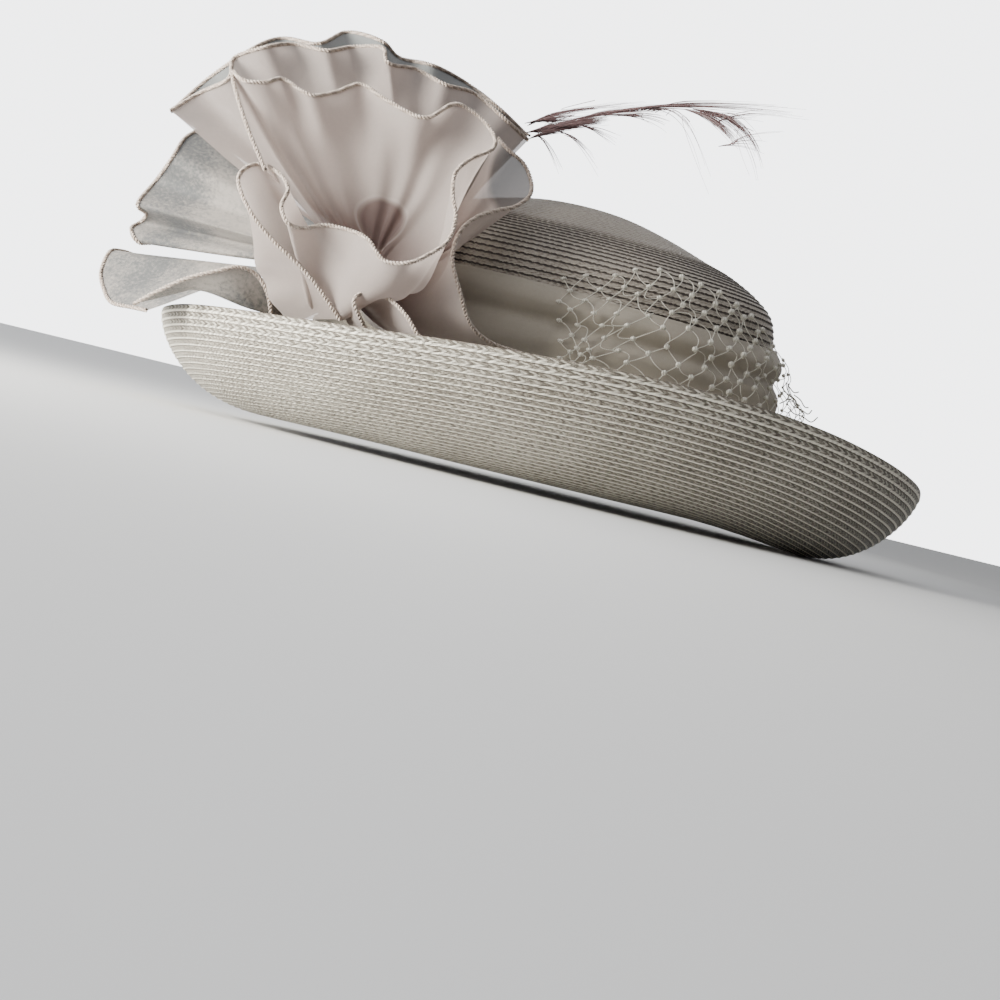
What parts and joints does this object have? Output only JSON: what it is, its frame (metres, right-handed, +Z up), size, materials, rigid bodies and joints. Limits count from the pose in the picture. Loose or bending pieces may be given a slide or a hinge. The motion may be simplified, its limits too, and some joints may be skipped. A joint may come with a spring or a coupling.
{
  "type": "dress hat",
  "caption": "Dress hat in sewn straw braid: domed crown, upturned brim, draped cloth band with veiling net, and a sheer ruffle flower with a thin feather.",
  "frame": {"origin": "centre of the head opening, in the plane of its edge on the brim's underside", "axes": "-X towards the front of the hat, -Y towards the wearer's left (the side with the flower), +Z up through the crown"},
  "size_m": [0.3781, 0.32, 0.1897],
  "materials": {
    "straw": "greige sewn straw braid, low sheen",
    "band_cloth": "fine draped cloth, matt",
    "net": "stiff off-white veiling net",
    "backing": "stiff cloth backing, matt",
    "organza": "sheer mauve-grey organza with a soft sheen",
    "feather": "dark burgundy-brown barbs"
  },
  "bodies": {
    "root": {"crown": "straw", "brim": "straw", "hat_band": "band_cloth", "veil": "net", "flower_base": "backing", "ruffle_back": "organza", "ruffle_middle": "organza", "ruffle_cup": "organza", "ruffle_right": "organza", "ruffle_low": "organza", "ruffle_side_low": "organza", "ruffle_side_outer": "organza", "ruffle_side_high": "organza", "feather": "feather"}
  },
  "joints": []
}
